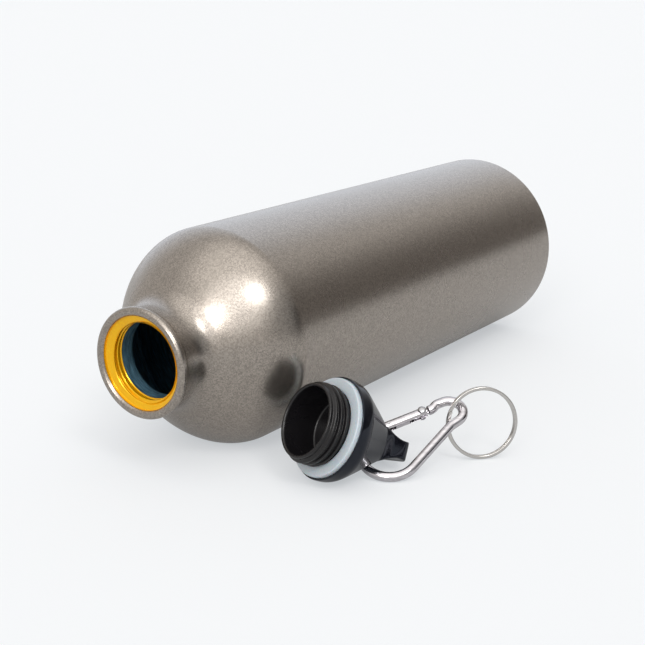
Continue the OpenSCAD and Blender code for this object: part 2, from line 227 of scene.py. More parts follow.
def handling_marks_group():
    """Smudges and faint rub marks: a factor that is 0 on clean areas and 1 on marked ones."""
    group = bpy.data.node_groups.new("handling_marks", "ShaderNodeTree")
    group_socket(group, "Patch Size", "INPUT", "NodeSocketFloat", 0.02)
    group_socket(group, "Amount", "INPUT", "NodeSocketFloat", 0.4)
    group_socket(group, "Factor", "OUTPUT", "NodeSocketFloat")
    nodes, links = group.nodes, group.links
    given = nodes.new("NodeGroupInput")
    result = nodes.new("NodeGroupOutput")
    place = nodes.new("ShaderNodeTexCoord")
    per_metre = nodes.new("ShaderNodeMath")
    per_metre.operation = "DIVIDE"
    per_metre.inputs[0].default_value = 1
    links.new(given.outputs["Patch Size"], per_metre.inputs[1])
    noise = nodes.new("ShaderNodeTexNoise")
    noise.inputs["Detail"].default_value = 5
    noise.inputs["Distortion"].default_value = 0.8
    links.new(place.outputs["Object"], noise.inputs["Vector"])
    links.new(per_metre.outputs[0], noise.inputs["Scale"])
    patch = nodes.new("ShaderNodeMapRange")
    patch.interpolation_type = "SMOOTHSTEP"
    patch.inputs["From Min"].default_value = 0.45
    patch.inputs["From Max"].default_value = 0.75
    links.new(noise.outputs["Fac"], patch.inputs["Value"])
    scaled = nodes.new("ShaderNodeMath")
    scaled.operation = "MULTIPLY"
    links.new(patch.outputs["Result"], scaled.inputs[0])
    links.new(given.outputs["Amount"], scaled.inputs[1])
    links.new(scaled.outputs[0], result.inputs["Factor"])
    return group


FINE_GRAIN = fine_grain_group()
HANDLING_MARKS = handling_marks_group()


# ---------- Materials ----------


def blend_colour(tree, factor, low, high):
    """Mix node from the low to the high colour by a factor socket."""
    mix = tree.nodes.new("ShaderNodeMix")
    mix.data_type = "RGBA"
    tree.links.new(factor, mix.inputs["Factor"])
    mix.inputs["A"].default_value = (*low, 1)
    mix.inputs["B"].default_value = (*high, 1)
    return mix


def map_value(tree, factor, low, high):
    """Value that runs from low to high with a factor socket."""
    node = tree.nodes.new("ShaderNodeMapRange")
    node.inputs["To Min"].default_value = low
    node.inputs["To Max"].default_value = high
    tree.links.new(factor, node.inputs["Value"])
    return node.outputs["Result"]


def add_group(tree, group, **values):
    node = tree.nodes.new("ShaderNodeGroup")
    node.node_tree = group
    for name, value in values.items():
        node.inputs[name.replace("_", " ")].default_value = value
    return node


def finish_material(
    name, low, high, roughness, grain, stretch=(1, 1, 1), bump=0.05, marks=0.3, patch=0.02, **shader
):
    """Principled finish whose colour, roughness and bump vary with grain and handling marks.

    low and high are the colours between which the grain moves, roughness is (clean, marked), grain is the
    grain's size in metres, and shader sets the Principled node's own sockets.
    """
    material = bpy.data.materials.new(name)
    material.use_nodes = True
    tree = material.node_tree
    surface = tree.nodes["Principled BSDF"]
    for socket, value in shader.items():
        surface.inputs[socket.replace("_", " ")].default_value = value
    grain_node = add_group(tree, FINE_GRAIN, Grain_Size=grain, Stretch=stretch)
    marks_node = add_group(tree, HANDLING_MARKS, Patch_Size=patch, Amount=marks)
    colour = blend_colour(tree, grain_node.outputs["Factor"], low, high)
    tree.links.new(colour.outputs["Result"], surface.inputs["Base Color"])
    tree.links.new(map_value(tree, marks_node.outputs["Factor"], *roughness), surface.inputs["Roughness"])
    bump_node = tree.nodes.new("ShaderNodeBump")
    bump_node.inputs["Strength"].default_value = bump
    bump_node.inputs["Distance"].default_value = 0.2 * MM
    tree.links.new(grain_node.outputs["Height"], bump_node.inputs["Height"])
    tree.links.new(bump_node.outputs["Normal"], surface.inputs["Normal"])
    return material


def shell_paint_material():
    """Satin metallic paint with fine flakes that differ in brightness, over a fine grain that tilts the
    surface a little.
    """
    material = finish_material(
        "shell_paint", (0.34, 0.305, 0.27), (0.4, 0.36, 0.32), (0.27, 0.33), 0.35 * MM,
        bump=0.05, marks=0.2, patch=0.03, Metallic=0.92, Coat_Weight=0.15, Coat_Roughness=0.2,
    )
    tree = material.node_tree
    surface = tree.nodes["Principled BSDF"]
    place = tree.nodes.new("ShaderNodeTexCoord")
    flakes = tree.nodes.new("ShaderNodeTexVoronoi")
    flakes.inputs["Scale"].default_value = 1 / (0.38 * MM)
    tree.links.new(place.outputs["Object"], flakes.inputs["Vector"])
    one_value = tree.nodes.new("ShaderNodeSeparateColor")
    tree.links.new(flakes.outputs["Color"], one_value.inputs["Color"])
    glint = map_value(tree, one_value.outputs["Red"], 0.8, 1.24)
    base = surface.inputs["Base Color"].links[0].from_socket
    flecked = tree.nodes.new("ShaderNodeVectorMath")
    flecked.operation = "SCALE"
    tree.links.new(base, flecked.inputs[0])
    tree.links.new(glint, flecked.inputs["Scale"])
    tree.links.new(flecked.outputs["Vector"], surface.inputs["Base Color"])
    return material


def make_materials():
    streaks = (1, 8, 8)
    return {
        "shell_paint": shell_paint_material(),
        "neck_lacquer": finish_material(
            "neck_lacquer", (0.98, 0.5, 0.002), (1.0, 0.58, 0.006), (0.16, 0.26), 0.8 * MM,
            bump=0.04, Metallic=0.6, Coat_Weight=0.3, Coat_Roughness=0.08,
        ),
        "bare_inside": finish_material(
            "bare_inside", (0.02, 0.06, 0.1), (0.16, 0.33, 0.45), (0.4, 0.55), 0.5 * MM,
            stretch=streaks, bump=0.5, Metallic=0.4,
        ),
        "gloss_black": finish_material(
            "gloss_black", (0.004, 0.0045, 0.007), (0.008, 0.0085, 0.012), (0.07, 0.18), 1.2 * MM,
            bump=0.02, marks=0.5, patch=0.008, IOR=1.45, Specular_Tint=(0.72, 0.82, 1, 1),
        ),
        "matte_black": finish_material(
            "matte_black", (0.003, 0.003, 0.004), (0.009, 0.008, 0.009), (0.26, 0.42), 0.4 * MM, bump=0.2,
        ),
        "silicone": finish_material(
            "silicone", (0.46, 0.53, 0.58), (0.56, 0.62, 0.67), (0.35, 0.55), 0.5 * MM,
            bump=0.15, Subsurface_Weight=0.15, Subsurface_Scale=0.001,
        ),
        "polished_wire": finish_material(
            "polished_wire", (0.56, 0.54, 0.57), (0.78, 0.76, 0.79), (0.05, 0.16), 0.6 * MM,
            stretch=(6, 6, 1), bump=0.06, marks=0.7, patch=0.004, Metallic=1.0,
        ),
        "plain_steel": finish_material(
            "plain_steel", (0.45, 0.45, 0.47), (0.62, 0.62, 0.64), (0.2, 0.36), 0.3 * MM,
            bump=0.1, marks=0.6, patch=0.003, Metallic=1.0,
        ),
        "nickel": finish_material(
            "nickel", (0.58, 0.57, 0.55), (0.76, 0.74, 0.72), (0.08, 0.2), 0.4 * MM,
            bump=0.08, marks=0.6, patch=0.004, Metallic=1.0,
        ),
    }


MATERIALS = make_materials()


# ---------- Mesh helpers ----------


def arc(centre, radius, start, end, steps=12):
    """Points on a circle about (x, y) from one angle to another, in degrees."""
    points = []
    for i in range(steps + 1):
        angle = start + (end - start) * i / steps
        points.append((centre[0] + radius * cosd(angle), centre[1] + radius * sind(angle)))
    return points


def smooth_step(low, high, value):
    t = min(max((value - low) / (high - low), 0), 1)
    return t * t * (3 - 2 * t)


def turned_shape(outline, sides=192, shape=None, zones=None):
    """Solid of revolution about Z from (radius, height) points that start and end on the axis or close up.

    shape(radius, height, angle) may change a point's radius, and zones gives each ring's material number.
    """
    shell = bmesh.new()
    rings = []
    for radius, height in outline:
        if radius < 1e-6:
            rings.append([shell.verts.new((0, 0, height))])
            continue
        ring = []
        for k in range(sides):
            angle = 360 * k / sides
            r = shape(radius, height, angle) if shape else radius
            ring.append(shell.verts.new((r * cosd(angle), r * sind(angle), height)))
        rings.append(ring)
    closed = len(rings[0]) > 1
    for i in range(len(rings) - (0 if closed else 1)):
        low, high = rings[i], rings[(i + 1) % len(rings)]
        for k in range(sides):
            n = (k + 1) % sides
            corners = [low[k % len(low)], low[n % len(low)], high[n % len(high)], high[k % len(high)]]
            face = shell.faces.new(list(dict.fromkeys(corners)))
            face.smooth = True
            face.material_index = zones[i] if zones else 0
    bmesh.ops.recalc_face_normals(shell, faces=shell.faces)
    return shell


def swept_shape(stations, sides=32):
    """Closed tube through (centre, across, up, half_across, half_up) stations, with rounded-flat sections."""
    tube = bmesh.new()
    rings = []
    for centre, across, up, half_across, half_up in stations:
        ring = []
        for k in range(sides):
            angle = 360 * k / sides
            offset = across * (half_across * cosd(angle)) + up * (half_up * sind(angle))
            ring.append(tube.verts.new(centre + offset))
        rings.append(ring)
    for low, high in zip(rings, rings[1:]):
        for k in range(sides):
            n = (k + 1) % sides
            tube.faces.new((low[k], low[n], high[n], high[k])).smooth = True
    tube.faces.new(rings[0])
    tube.faces.new(rings[-1])
    bmesh.ops.recalc_face_normals(tube, faces=tube.faces)
    return tube


def prism(outline, reach, place):
    """Prism of an outline that runs both ways along its own Z, moved to its place."""
    block = bmesh.new()
    near = [block.verts.new((x, y, -reach)) for x, y in outline]
    far = [block.verts.new((x, y, reach)) for x, y in outline]
    for k in range(len(outline)):
        n = (k + 1) % len(outline)
        block.faces.new((near[k], near[n], far[n], far[k]))
    block.faces.new(near)
    block.faces.new(far)
    block.transform(place)
    bmesh.ops.recalc_face_normals(block, faces=block.faces)
    return block


def object_from(name, shape):
    """New object from a bmesh, still in its own millimetres."""
    mesh = bpy.data.meshes.new(name)
    shape.to_mesh(mesh)
    shape.free()
    piece = bpy.data.objects.new(name, mesh)
    bpy.context.scene.collection.objects.link(piece)
    return piece


def settle_modifiers(piece):
    """Turns the piece's modifiers into a plain mesh."""
    bpy.context.view_layer.update()
    evaluated = piece.evaluated_get(bpy.context.evaluated_depsgraph_get())
    mesh = bpy.data.meshes.new_from_object(evaluated)
    piece.modifiers.clear()
    piece.data = mesh
    for polygon in mesh.polygons:
        polygon.use_smooth = True


def soften(piece, voxel, passes):
    """Rounds a piece's edges by a fine remesh and a few smoothing passes."""
    remesh = piece.modifiers.new("even_mesh", "REMESH")
    remesh.mode = "VOXEL"
    remesh.voxel_size = voxel
    smooth = piece.modifiers.new("rounded_edges", "SMOOTH")
    smooth.iterations = passes
    smooth.factor = 0.5
    settle_modifiers(piece)


def cad_copy(node, place):
    """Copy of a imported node's mesh, brought back to its own millimetres and merged."""
    shape = bmesh.new()
    shape.from_mesh(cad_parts[node].data)
    shape.transform(place.inverted() @ Matrix.Scale(1 / MM, 4))
    bmesh.ops.remove_doubles(shape, verts=shape.verts, dist=0.002)
    return object_from(node + "_finished", shape)


def cut_away(piece, cutter):
    """Takes the cutter's volume out of the piece and removes the cutter."""
    cut = piece.modifiers.new("cut", "BOOLEAN")
    cut.operation = "DIFFERENCE"
    cut.solver = "EXACT"
    cut.object = cutter
    settle_modifiers(piece)
    bpy.data.objects.remove(cutter)


def place_piece(piece, place, body, slot, finishes, *nodes):
    """Moves the mesh to its place in metres, gives it its finishes and ties it to its body."""
    piece.data.transform(Matrix.Scale(MM, 4) @ place)
    if not piece.data.materials:
        for finish in finishes:
            piece.data.materials.append(MATERIALS[finish])
    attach(piece, body)
    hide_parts(*nodes)


# ---------- Bottle ----------


def shoulder_radius(x):
    rest = 1 - ((SHOULDER_START - x) / SHOULDER_DEPTH) ** SHOULDER_POWER
    return BODY_RADIUS * rest ** (1 / SHOULDER_POWER)


def shoulder_x(radius):
    rest = 1 - (radius / BODY_RADIUS) ** SHOULDER_POWER
    return SHOULDER_START - SHOULDER_DEPTH * rest ** (1 / SHOULDER_POWER)


def thread_cut(radius, x, angle):
    """Deepens the neck's bore along a right-handed helical groove that fades at both ends."""
    first, last = 2.1, 6.2
    start_fade, end_fade = 0.6, 0.8
    wall_band = 0.3
    if abs(radius - THREAD_BORE) > wall_band:
        return radius
    phase = ((x - first) / THREAD_PITCH - angle / 360) % 1
    groove = smooth_step(0.15, 0.4, phase) * (1 - smooth_step(0.6, 0.85, phase))
    fade = smooth_step(first, first + start_fade, x) * (1 - smooth_step(last - end_fade, last, x))
    return radius + THREAD_DEPTH * groove * fade


def outside_outline(fillet_x, dome_steps):
    """Painted side of the shell, from the inside of the lip round to the middle of the base."""
    lip = (LIP_RADIUS - ENTRY_RADIUS) / 2
    neck_end = fillet_x - NECK_FILLET * sind(FILLET_TURN)
    dome = []
    for i in range(1, dome_steps + 1):
        x = fillet_x + (SHOULDER_START - fillet_x) * (1 - (1 - i / dome_steps) ** 2)
        dome.append((shoulder_radius(x), x))
    straight = [(BODY_RADIUS, SHOULDER_START + WALL_STEP * i) for i in range(1, 15)]
    corner = (BODY_RADIUS - BASE_CORNER, BOTTLE_LENGTH - BASE_CORNER)
    recess = BODY_RADIUS - BASE_CORNER - 2.5
    recess_edge = 1.2
    base_x = BOTTLE_LENGTH - BASE_RECESS
    back_of_lip = [
        (LIP_RADIUS - 0.05, lip + 0.8), (LIP_RADIUS - 0.3, lip + 1.4), (NECK_RADIUS + 0.45, lip + 2.1),
        (NECK_RADIUS + 0.1, lip + 2.6), (NECK_RADIUS, lip + 3.1),
    ]
    dished_base = [
        (recess - 1.8, base_x), (recess - 2.6, base_x - 0.3), (recess - 6, base_x - 0.5),
        (20, base_x - 0.8), (8, base_x - 1), (0, base_x - 1),
    ]
    return (
        arc((ENTRY_RADIUS + lip, lip), lip, PAINT_END, 360, 30)
        + back_of_lip
        + arc((NECK_RADIUS + NECK_FILLET, neck_end), NECK_FILLET, 180, 180 - FILLET_TURN, 14)
        + dome
        + straight
        + arc(corner, BASE_CORNER, 0, 90, 12)
        + [(recess + recess_edge, BOTTLE_LENGTH)]
        + arc((recess, BOTTLE_LENGTH - recess_edge), recess_edge, 90, 180, 6)
        + dished_base
    )


def lacquered_outline():
    """Threaded wall of the bore and the way in to it, from the end of the lacquer out to the paint."""
    lip = (LIP_RADIUS - ENTRY_RADIUS) / 2
    first_ring, last_ring, rings = LACQUER_END, 3, 64
    outline = [(THREAD_BORE, first_ring - (first_ring - last_ring) * i / rings) for i in range(rings + 1)]
    outline += [
        (THREAD_BORE + 0.25, 2.7), (THREAD_BORE + 0.6, 2.4), (THREAD_BORE + 1.6, 2.25),
        (ENTRY_RADIUS - 0.35, 2.1), (ENTRY_RADIUS - 0.05, 1.85),
    ]
    return outline + arc((ENTRY_RADIUS + lip, lip), lip, 165, PAINT_END - 5, 6)


def bare_outline(fillet_x, dome_steps):
    """Inside of the shell, from the middle of the base to the bare end of the bore."""
    inner = BODY_RADIUS - WALL
    floor_x = BOTTLE_LENGTH - BASE_RECESS - 2.4
    outline = [(0, floor_x), (12, floor_x), (inner - 3, floor_x + 0.1)]
    outline += arc((inner - 3, floor_x - 3), 3, 80, 0, 6)
    outline += [(inner, floor_x - 3.6 - WALL_STEP * i) for i in range(1, 14)]
    for i in range(dome_steps + 1):
        share = i / dome_steps
        x = SHOULDER_START + 1 - (SHOULDER_START - fillet_x) * share**2
        radius = shoulder_radius(x - 1) - WALL - 0.4 * share
        outline.append((max(radius, THREAD_BORE + 3), x + 0.3 * share))
    outline += arc((THREAD_BORE + 2, NECK_INNER_END), 2, 130, 180, 5)
    return outline + [(THREAD_BORE, NECK_INNER_END - 1.2 * i) for i in range(1, 4)]


def bottle_outline():
    """Outline of the shell and the zone of each of its rings: 0 paint, 1 lacquer, 2 bare metal."""
    fillet_x = shoulder_x(NECK_RADIUS + NECK_FILLET * (1 - cosd(FILLET_TURN)))
    dome_steps = 48
    outside = outside_outline(fillet_x, dome_steps)
    lacquer = lacquered_outline()
    bare = bare_outline(fillet_x, dome_steps)
    zones = [2] * len(bare) + [1] * len(lacquer) + [0] * len(outside)
    return bare + lacquer + outside, zones


def make_bottle():
    outline, zones = bottle_outline()
    shape = turned_shape(outline, 256, thread_cut, zones)
    piece = object_from("bottle_painted_shell", shape)
    finishes = ["shell_paint", "neck_lacquer", "bare_inside"]
    place_piece(piece, BOTTLE_PLACE, "bottle", "shell_paint", finishes, "bottle_shell")


# ---------- Cap ----------


def loop_half_thickness(z):
    """Half the loop's thickness: thinnest at the waist, thicker below it and a little thicker at the tip."""
    if z < WAIST_HEIGHT:
        return LOOP_WAIST + THICKNESS_GROWTH * (WAIST_HEIGHT - z) ** THICKNESS_POWER
    return LOOP_WAIST + TIP_FLARE * ((z - WAIST_HEIGHT) / (CAP_HEIGHT - WAIST_HEIGHT)) ** 2


def loop_half_breadth(z):
    """Half the loop's breadth: straight above the flare's top, with rounded corners at the tip."""
    if z < FLARE_TOP:
        return LOOP_HALF_WIDTH + BREADTH_GROWTH * (FLARE_TOP - z) ** BREADTH_POWER
    over = max(z - (CAP_HEIGHT - LOOP_CORNER), 0)
    return LOOP_HALF_WIDTH - LOOP_CORNER + math.sqrt(max(LOOP_CORNER**2 - over**2, 0))


def round_limit(z):
    """Radius of the skirt, its rounded shoulder and the cone above it at height z."""
    cone_z = SKIRT_TOP + CAP_SHOULDER * sind(CONE_ANGLE)
    cone_r = CAP_RADIUS - CAP_SHOULDER + CAP_SHOULDER * cosd(CONE_ANGLE)
    if z < SKIRT_BOTTOM + CAP_EDGE:
        short = SKIRT_BOTTOM + CAP_EDGE - z
        return CAP_RADIUS - CAP_EDGE + math.sqrt(max(CAP_EDGE**2 - short**2, 0))
    if z < SKIRT_TOP:
        return CAP_RADIUS
    if z < cone_z:
        return CAP_RADIUS - CAP_SHOULDER + math.sqrt(CAP_SHOULDER**2 - (z - SKIRT_TOP) ** 2)
    return max(cone_r - (z - cone_z) * math.tan(math.radians(CONE_ANGLE)), LOOP_HALF_WIDTH + 1.3)


def cap_outer_shape():
    """Round skirt that blends into the flat fishtail loop, lofted from rounded sections."""
    sides, edge, power = 224, 0.7, 14
    side_low, side_high = SKIRT_BOTTOM + CAP_EDGE, CAP_HEIGHT - edge
    heights = [SKIRT_BOTTOM + CAP_EDGE * (1 - cosd(90 * i / 6)) for i in range(7)]
    heights += [side_low + (side_high - side_low) * i / 90 for i in range(1, 91)]
    heights += [side_high + edge * sind(90 * i / 8) for i in range(1, 9)]
    shape = bmesh.new()
    rings = []
    for z in heights:
        over = max(z - (CAP_HEIGHT - edge), 0)
        inset = edge - math.sqrt(max(edge**2 - over**2, 0))
        thick = loop_half_thickness(z) - inset
        wide = loop_half_breadth(z)
        ring = []
        for k in range(sides):
            c, s = cosd(360 * k / sides), sind(360 * k / sides)
            limit = round_limit(z) ** -power + (abs(c) / thick) ** power + (abs(s) / wide) ** power
            r = limit ** (-1 / power)
            ring.append(shape.verts.new((r * c, r * s, z)))
        rings.append(ring)
    for low, high in zip(rings, rings[1:]):
        for k in range(sides):
            n = (k + 1) % sides
            shape.faces.new((low[k], low[n], high[n], high[k]))
    shape.faces.new(rings[0])
    shape.faces.new(rings[-1])
    bmesh.ops.recalc_face_normals(shape, faces=shape.faces)
    return shape


def loop_hole():
    """Outline of the hole through the loop, as (y, z)."""
    low, high = HOLE_BOTTOM + HOLE_HALF_WIDTH, HOLE_TOP - HOLE_HALF_WIDTH
    return arc((0, high), HOLE_HALF_WIDTH, 0, 180, 32) + arc((0, low), HOLE_HALF_WIDTH, 180, 360, 32)


def plug_top():
    """Outline of the plug's flange and roof, which the cover fits over."""
    flange_top = GASKET_THICKNESS + FLANGE_DEPTH
    roof = PLUG_FLOOR + ROOF_THICKNESS
    flange = [(PLUG_FLANGE, GASKET_THICKNESS), (PLUG_FLANGE, flange_top)]
    return flange + [(WELL_RADIUS, flange_top), (WELL_RADIUS, roof), (0, roof)]


def make_cap_cover():
    piece = object_from("cap_cover_moulding", cap_outer_shape())
    cut_away(piece, object_from("loop_hole_cutter", prism(loop_hole(), 2 * CAP_RADIUS, ALONG_X)))
    cavity = [(0, 0), (GASKET_RADIUS + GASKET_GAP, 0), (GASKET_RADIUS + GASKET_GAP, GASKET_THICKNESS)]
    cavity += plug_top()
    cut_away(piece, object_from("underside_cutter", turned_shape(cavity, 128)))
    soften(piece, 0.26, 4)
    place_piece(piece, CAP_PLACE, "cap", "gloss_black", ["gloss_black"], "cap_cover")


def plug_thread(radius, z, angle):
    """Right-handed ridge on the plug's outer wall, fading at both ends."""
    low, high, end_fade = -6.9, -0.4, 0.9
    if abs(radius - PLUG_ROOT) > 0.01:
        return radius
    phase = (z / THREAD_PITCH - angle / 360) % 1
    ridge = smooth_step(0.16, 0.42, phase) * (1 - smooth_step(0.58, 0.84, phase))
    fade = smooth_step(low, low + end_fade, z) * (1 - smooth_step(high - end_fade, high, z))
    return radius + (PLUG_CREST - PLUG_ROOT) * ridge * fade


def make_cap_plug():
    rings, low = 110, 0.6 - PLUG_LENGTH
    wall = [(PLUG_ROOT, low - low * i / rings) for i in range(rings + 1)]
    outline = (
        [(0, PLUG_FLOOR)]
        + [(4, PLUG_FLOOR - 0.02), (8, PLUG_FLOOR - 0.05), (PLUG_BORE - 1.1, PLUG_FLOOR - 0.1)]
        + arc((PLUG_BORE - 1.1, PLUG_FLOOR - 0.9), 0.8, 90, 0, 6)
        + [(PLUG_BORE, -PLUG_LENGTH + 0.9), (PLUG_BORE + 0.12, -PLUG_LENGTH + 0.35)]
        + [(PLUG_BORE + 0.35, -PLUG_LENGTH + 0.06), (PLUG_BORE + 0.55, -PLUG_LENGTH)]
        + arc((PLUG_ROOT - 0.45, -PLUG_LENGTH + 0.45), 0.45, 270, 350, 5)
        + wall
        + [(PLUG_ROOT, GASKET_THICKNESS)]
        + plug_top()
    )
    piece = object_from("cap_threaded_plug", turned_shape(outline, 192, plug_thread))
    piece.data.set_sharp_from_angle(angle=math.radians(40))
    place_piece(piece, CAP_PLACE, "cap", "matte_black", ["matte_black"], "cap_plug")


def make_gasket():
    soft = 0.45
    outline = (
        [(PLUG_ROOT, GASKET_THICKNESS)]
        + arc((PLUG_ROOT + soft, soft), soft, 180, 270, 6)
        + arc((GASKET_RADIUS - soft, soft), soft, 270, 360, 6)
        + [(GASKET_RADIUS, GASKET_THICKNESS)]
    )
    piece = object_from("cap_silicone_gasket", turned_shape(outline, 160))
    piece.data.set_sharp_from_angle(angle=math.radians(50))
    place_piece(piece, CAP_PLACE, "cap", "silicone", ["silicone"], "cap_gasket")


# ---------- Carabiner ----------


def clip_pieces(spine):
    """The wire's path: (length,) for a straight and (radius, angle) for a bend, with left turns positive."""
    return [
        (BOW_RADIUS, 180 + SPINE_SLOPE - GATE_SLOPE),
        (spine,),
        (KINK_RADIUS, -KINK_ANGLE),
        (EYE_LEAD,),
        (EYE_RADIUS, 180 + GATE_SLOPE - END_TILT - SPINE_SLOPE + KINK_ANGLE),
        (TOP_LEAD,),
        (KINK_RADIUS, SHOULDER_BEND),
        (BEND_GAP,),
        (KINK_RADIUS, END_TILT - SHOULDER_BEND),
    ]


def step_on(pose, piece, share=1.0):
    """Pose (x, y, heading) after a share of a piece of the path."""
    x, y, heading = pose
    if len(piece) == 1:
        length = piece[0] * share
        return (x + length * cosd(heading), y + length * sind(heading), heading)
    angle = piece[1] * share
    radius = math.copysign(piece[0], piece[1])
    after = heading + angle
    return (x + radius * (sind(after) - sind(heading)), y - radius * (cosd(after) - cosd(heading)), after)


def walk(pieces, pose):
    for piece in pieces:
        pose = step_on(pose, piece)
    return pose


def clip_stations():
    """Stations of the carabiner's wire from the tip of its nose to the end of its heel."""
    start = (BOW_RADIUS * sind(-GATE_SLOPE), BOW_RADIUS * cosd(GATE_SLOPE), 180 + GATE_SLOPE)
    end = walk(clip_pieces(0), start)
    off_line = (end[0] - start[0]) * sind(-GATE_SLOPE) + (end[1] - start[1]) * cosd(GATE_SLOPE)
    pieces = clip_pieces(-off_line / sind(SPINE_SLOPE - GATE_SLOPE))
    nose_tip = CATCH_AT + NOSE_PAST_CATCH
    end = walk(pieces, start)
    heel_start = (end[0] - start[0]) * cosd(GATE_SLOPE) + (end[1] - start[1]) * sind(GATE_SLOPE)
    heel_tip = HINGE_AT - TONGUE_HEIGHT
    stations = []

    def add(pose, across, up):
        centre = Vector((pose[0], pose[1], 0))
        side = Vector((-sind(pose[2]), cosd(pose[2]), 0))
        stations.append((centre, side, Vector((0, 0, 1)), across, up))

    def add_end(along, inwards, flat_length):
        """Station on the gate's line: rounded at the tip, flat for a length, and then the round wire."""
        flat = 1 - smooth_step(flat_length, flat_length + TONGUE_BLEND, inwards)
        tip = min(inwards / TIP_ROUNDING, 1)
        cap = math.sqrt(max(1 - (1 - tip) ** 2, 0.02))
        across = WIRE_RADIUS + (TONGUE_HEIGHT - WIRE_RADIUS) * flat
        up = WIRE_RADIUS + (TONGUE_HALF - WIRE_RADIUS) * flat
        x = start[0] + along * cosd(GATE_SLOPE)
        y = start[1] + along * sind(GATE_SLOPE)
        add((x, y, 180 + GATE_SLOPE), across * cap, up * (0.55 + 0.45 * cap))

    steps, crowding, spacing = 36, 1.3, 0.45
    for i in range(steps):
        inwards = nose_tip * (i / steps) ** crowding
        add_end(nose_tip - inwards, inwards, nose_tip - NOSE_STUB)
    pose = start
    for piece in pieces:
        length = piece[0] if len(piece) == 1 else math.radians(abs(piece[1])) * piece[0]
        count = max(2, round(length / spacing))
        for i in range(count):
            add(step_on(pose, piece, i / count), WIRE_RADIUS, WIRE_RADIUS)
        pose = step_on(pose, piece)
    for i in range(steps + 1):
        inwards = (heel_start - heel_tip) * (1 - i / steps) ** crowding
        add_end(heel_tip + inwards, inwards, HEEL_FLAT)
    return stations


def make_carabiner():
    frame_piece = object_from("carabiner_bent_wire", swept_shape(clip_stations(), 40))
    notch_foot = -2
    notch = [(CATCH_AT - CATCH_NOTCH, notch_foot), (CATCH_AT + CATCH_NOTCH, notch_foot)]
    notch += arc((CATCH_AT, CATCH_RISE), CATCH_NOTCH, 0, 180, 16)
    cut_away(frame_piece, object_from("catch_notch_cutter", prism(notch, 2 * TONGUE_HALF, GATE_IN_CLIP)))
    frame_piece.data.set_sharp_from_angle(angle=math.radians(60))
    place_piece(frame_piece, CLIP_PLACE, "carabiner", "polished_wire", ["polished_wire"], "carabiner_frame")
    gate = cad_copy("carabiner_gate", GATE_PLACE)
    gate.name = "carabiner_tube_gate"
    soften(gate, 0.1, 3)
    place_piece(gate, GATE_PLACE, "gate", "polished_wire", ["polished_wire"], "carabiner_gate")


def make_rivet():
    dome = [(RIVET_HEAD * cosd(a), GATE_RADIUS + RIVET_RISE * sind(a)) for a in range(0, 90, 9)]
    dome.append((0, GATE_RADIUS + RIVET_RISE))
    lower = [(r, -z) for r, z in reversed(dome)]
    shank = [(PIN_RADIUS, -GATE_RADIUS), (PIN_RADIUS, GATE_RADIUS)]
    piece = object_from("gate_rivet_domed", turned_shape(lower + shank + dome, 48))
    piece.data.set_sharp_from_angle(angle=math.radians(50))
    at_hinge = GATE_PLACE @ Matrix.Translation((HINGE_AT, 0, 0))
    place_piece(piece, at_hinge, "gate", "plain_steel", ["plain_steel"], "gate_rivet")


# ---------- Coiled wires, made by one geometry tree ----------


